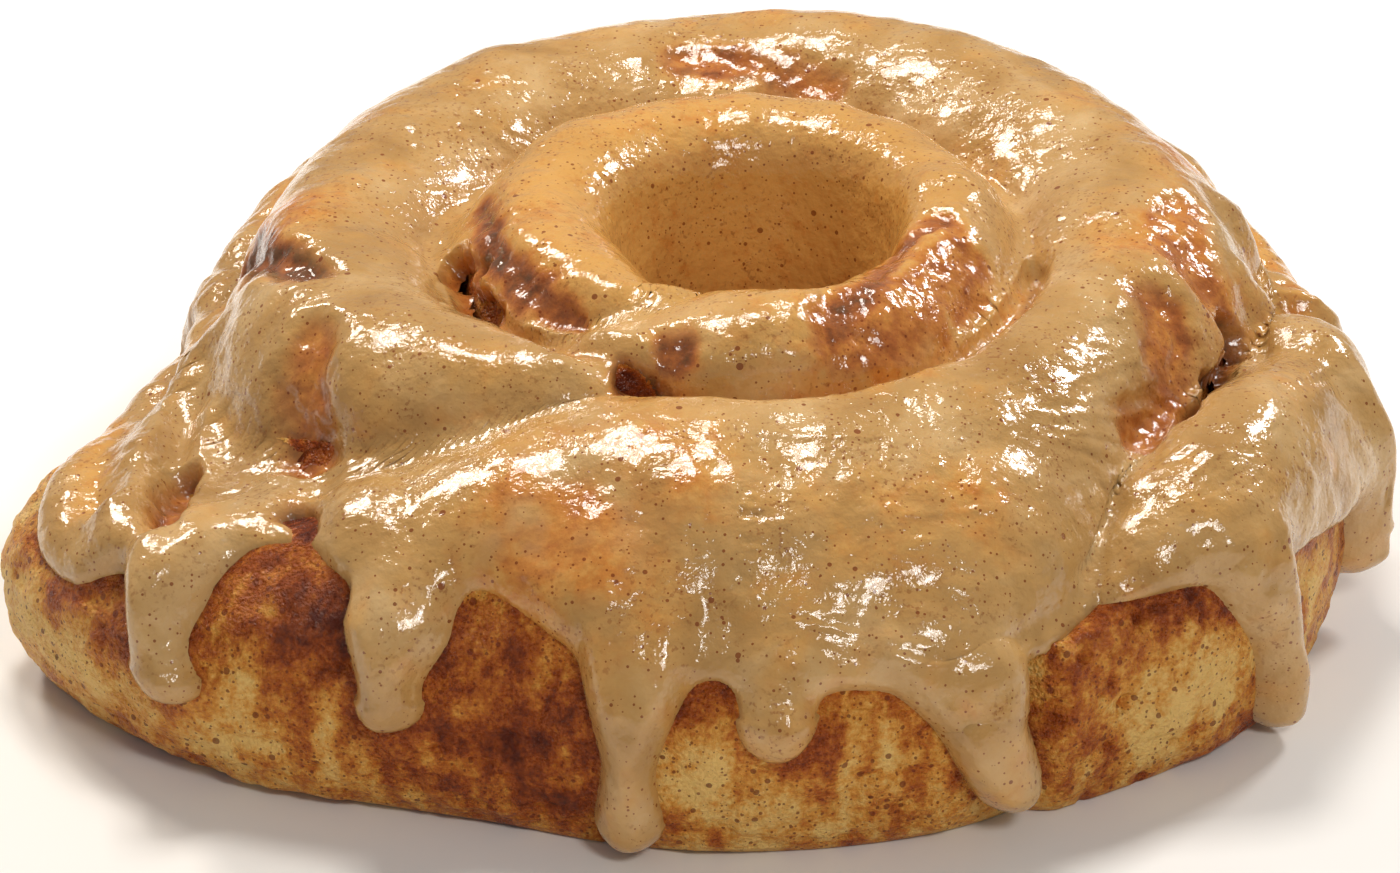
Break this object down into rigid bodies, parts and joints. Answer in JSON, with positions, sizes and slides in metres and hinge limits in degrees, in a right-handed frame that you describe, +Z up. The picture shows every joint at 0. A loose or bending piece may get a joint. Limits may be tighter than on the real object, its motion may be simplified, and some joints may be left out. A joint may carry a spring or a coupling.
{
  "type": "iced cinnamon roll",
  "caption": "Baked cinnamon roll wound in a spiral round an open centre well, with cinnamon filling between the wraps and brown butter icing poured over it in drips.",
  "frame": {"origin": "centre of the bounding box at its underside, on the surface that the roll rests on", "axes": "+Z up; -Y towards the side with the long drips, which the picture shows; +X to the right as seen from there"},
  "size_m": [0.1209, 0.1181, 0.0375],
  "materials": {
    "baked_dough": "golden brown baked sweet dough, speckled with browned sugar and cinnamon",
    "cinnamon_filling": "dark sticky cinnamon sugar",
    "brown_butter_icing": "glossy caramel-tan poured icing with brown butter specks, translucent where it is thin"
  },
  "bodies": {
    "root": {"dough_roll": "baked_dough", "cinnamon_filling": "cinnamon_filling", "icing": "brown_butter_icing"}
  },
  "joints": []
}
